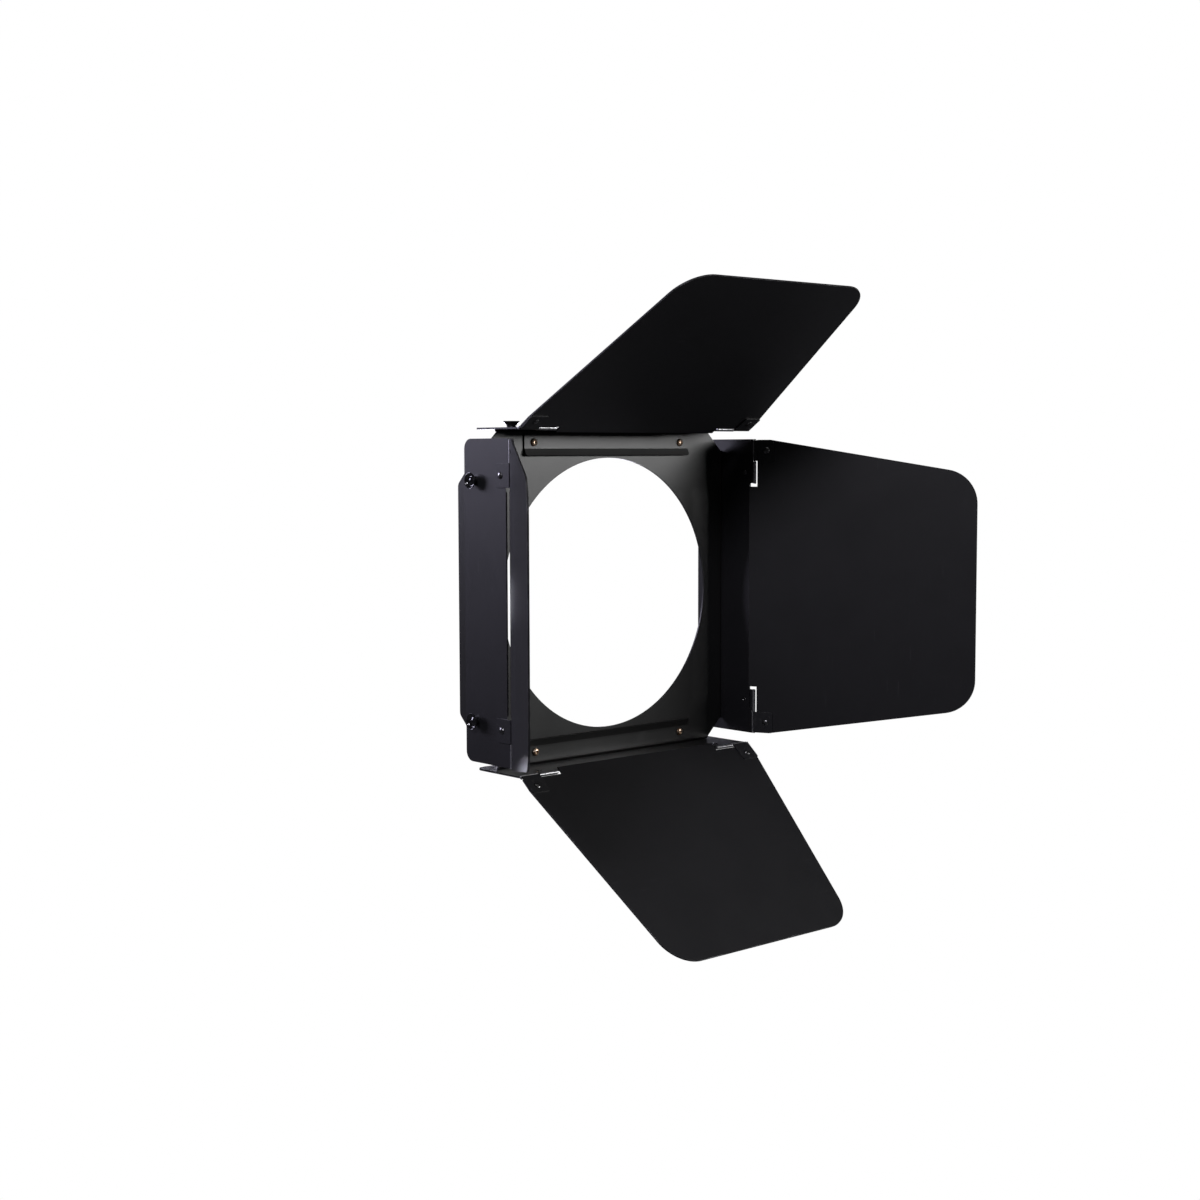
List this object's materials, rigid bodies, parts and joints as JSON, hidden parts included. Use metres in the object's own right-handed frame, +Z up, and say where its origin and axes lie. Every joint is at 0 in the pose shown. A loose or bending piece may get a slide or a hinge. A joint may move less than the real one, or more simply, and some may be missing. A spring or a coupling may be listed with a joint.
{
  "type": "barn door attachment",
  "caption": "Square light-shaping frame with a round light opening and hinged tapered doors on all sides, for the front of a studio flash reflector.",
  "frame": {"origin": "centre of the round light opening on the back face of the hole plate, where a reflector's rim sits", "axes": "+Z up, -Y the way the light goes, +Y back to the lamp, +X to the right of someone who looks into the opening from the front"},
  "size_m": [0.4074, 0.2084, 0.4394],
  "materials": {
    "sheet_black": "matte",
    "plate_black": "satin",
    "rail_black": "satin",
    "hinge_steel": "satin",
    "pin_steel": "satin",
    "rivet_metal": "satin",
    "knob_black": "gloss",
    "screw_brass": "satin",
    "nut_steel": "satin"
  },
  "bodies": {
    "box": {"clinch_nuts": "nut_steel", "filter_rail_bottom": "rail_black", "filter_rail_top": "rail_black", "hinge_pins_bottom": "pin_steel", "hinge_pins_left": "pin_steel", "hinge_pins_right": "pin_steel", "hinge_pins_top": "pin_steel", "hole_plate": "plate_black", "rail_nuts": "nut_steel", "rail_screws": "screw_brass", "wall_bottom": "sheet_black", "wall_hinge_leaves_bottom": "hinge_steel", "wall_hinge_leaves_left": "hinge_steel", "wall_hinge_leaves_right": "hinge_steel", "wall_hinge_leaves_top": "hinge_steel", "wall_left": "sheet_black", "wall_right": "sheet_black", "wall_rivets_bottom": "rivet_metal", "wall_rivets_left": "rivet_metal", "wall_rivets_right": "rivet_metal", "wall_rivets_top": "rivet_metal", "wall_top": "sheet_black"},
    "door_bottom": {"door_bottom": "sheet_black", "door_hinge_leaves_bottom": "hinge_steel", "door_rivets_bottom": "rivet_metal"},
    "door_left": {"door_hinge_leaves_left": "hinge_steel", "door_left": "sheet_black", "door_rivets_left": "rivet_metal"},
    "door_right": {"door_hinge_leaves_right": "hinge_steel", "door_right": "sheet_black", "door_rivets_right": "rivet_metal"},
    "door_top": {"door_hinge_leaves_top": "hinge_steel", "door_rivets_top": "rivet_metal", "door_top": "sheet_black"},
    "thumbscrew_bottom_left": {"thumbscrew_bottom_left": "knob_black"},
    "thumbscrew_bottom_right": {"thumbscrew_bottom_right": "knob_black"},
    "thumbscrew_left_lower": {"thumbscrew_left_lower": "knob_black"},
    "thumbscrew_left_upper": {"thumbscrew_left_upper": "knob_black"},
    "thumbscrew_right_lower": {"thumbscrew_right_lower": "knob_black"},
    "thumbscrew_right_upper": {"thumbscrew_right_upper": "knob_black"},
    "thumbscrew_top_left": {"thumbscrew_top_left": "knob_black"},
    "thumbscrew_top_right": {"thumbscrew_top_right": "knob_black"}
  },
  "joints": [
    {"name": "top_door_hinge", "type": "hinge", "parent": "box", "child": "door_top", "pos_m": [0, -0.03475, 0.1179], "axis": [1, 0, 0], "range_deg": [-75.8, 122.2]},
    {"name": "right_door_hinge", "type": "hinge", "parent": "box", "child": "door_right", "pos_m": [0.1179, -0.03475, 0], "axis": [0, 0, 1], "range_deg": [-114, 84]},
    {"name": "bottom_door_hinge", "type": "hinge", "parent": "box", "child": "door_bottom", "pos_m": [0, -0.03475, -0.1179], "axis": [-1, 0, 0], "range_deg": [-69.3, 130.7]},
    {"name": "left_door_hinge", "type": "hinge", "parent": "box", "child": "door_left", "pos_m": [-0.1179, -0.03475, 0], "axis": [0, 0, -1], "range_deg": [-125.7, 74.3]},
    {"name": "top_left_screw_turn", "type": "hinge", "parent": "box", "child": "thumbscrew_top_left", "pos_m": [-0.086, 0.0031, 0.1185], "axis": [0, 0, 1], "range_deg": [0, 360]},
    {"name": "top_right_screw_turn", "type": "hinge", "parent": "box", "child": "thumbscrew_top_right", "pos_m": [0.086, 0.0031, 0.1185], "axis": [0, 0, 1], "range_deg": [0, 360]},
    {"name": "right_upper_screw_turn", "type": "hinge", "parent": "box", "child": "thumbscrew_right_upper", "pos_m": [0.1185, 0.0031, 0.0825], "axis": [1, 0, 0], "range_deg": [0, 360]},
    {"name": "right_lower_screw_turn", "type": "hinge", "parent": "box", "child": "thumbscrew_right_lower", "pos_m": [0.1185, 0.0031, -0.0825], "axis": [1, 0, 0], "range_deg": [0, 360]},
    {"name": "bottom_right_screw_turn", "type": "hinge", "parent": "box", "child": "thumbscrew_bottom_right", "pos_m": [0.086, 0.0031, -0.1185], "axis": [0, 0, -1], "range_deg": [0, 360]},
    {"name": "bottom_left_screw_turn", "type": "hinge", "parent": "box", "child": "thumbscrew_bottom_left", "pos_m": [-0.086, 0.0031, -0.1185], "axis": [0, 0, -1], "range_deg": [0, 360]},
    {"name": "left_lower_screw_turn", "type": "hinge", "parent": "box", "child": "thumbscrew_left_lower", "pos_m": [-0.1185, 0.0031, -0.0825], "axis": [-1, 0, 0], "range_deg": [0, 360]},
    {"name": "left_upper_screw_turn", "type": "hinge", "parent": "box", "child": "thumbscrew_left_upper", "pos_m": [-0.1185, 0.0031, 0.0825], "axis": [-1, 0, 0], "range_deg": [0, 360]}
  ]
}
